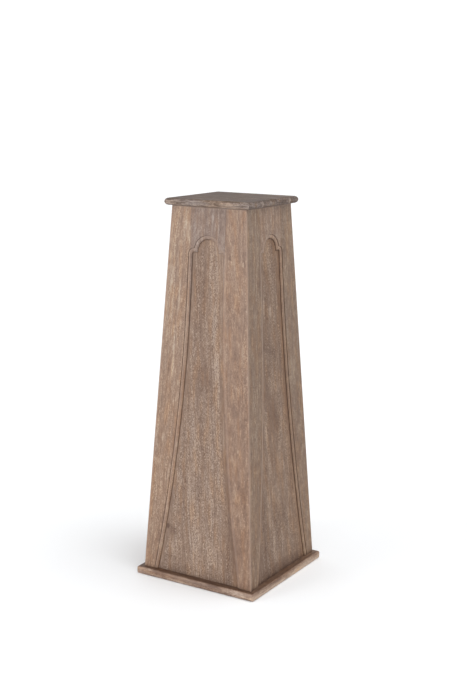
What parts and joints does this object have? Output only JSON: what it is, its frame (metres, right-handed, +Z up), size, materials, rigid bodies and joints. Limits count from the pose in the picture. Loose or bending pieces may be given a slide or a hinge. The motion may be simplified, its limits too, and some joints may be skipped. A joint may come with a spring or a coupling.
{
  "type": "display pedestal",
  "caption": "Tapered square wooden display pedestal: a hollow column with a moulded arched recess on each side, on a square base board under a round-edged top.",
  "frame": {"origin": "middle of the base board's underside", "axes": "+Z up along the column's axis, -Y through the front side, +X through the right side"},
  "size_m": [0.3322, 0.3322, 0.914],
  "materials": {
    "base_wood": "washed brown wood with a dark stained top face, satin",
    "panel_wood": "open-grained brown wood with a heavy whitish wash in the pores, matt",
    "frame_wood": "sanded tan wood with a light wash and worn arrises, dark stain in the moulding's corners, matt",
    "slab_wood": "grey-taupe washed boards with a soft sheen"
  },
  "bodies": {
    "root": {"base_board": "base_wood", "side_panel_front": "panel_wood", "side_panel_right": "panel_wood", "side_panel_back": "panel_wood", "side_panel_left": "panel_wood", "arch_frame_front": "frame_wood", "arch_frame_right": "frame_wood", "arch_frame_back": "frame_wood", "arch_frame_left": "frame_wood", "top_slab": "slab_wood"}
  },
  "joints": []
}
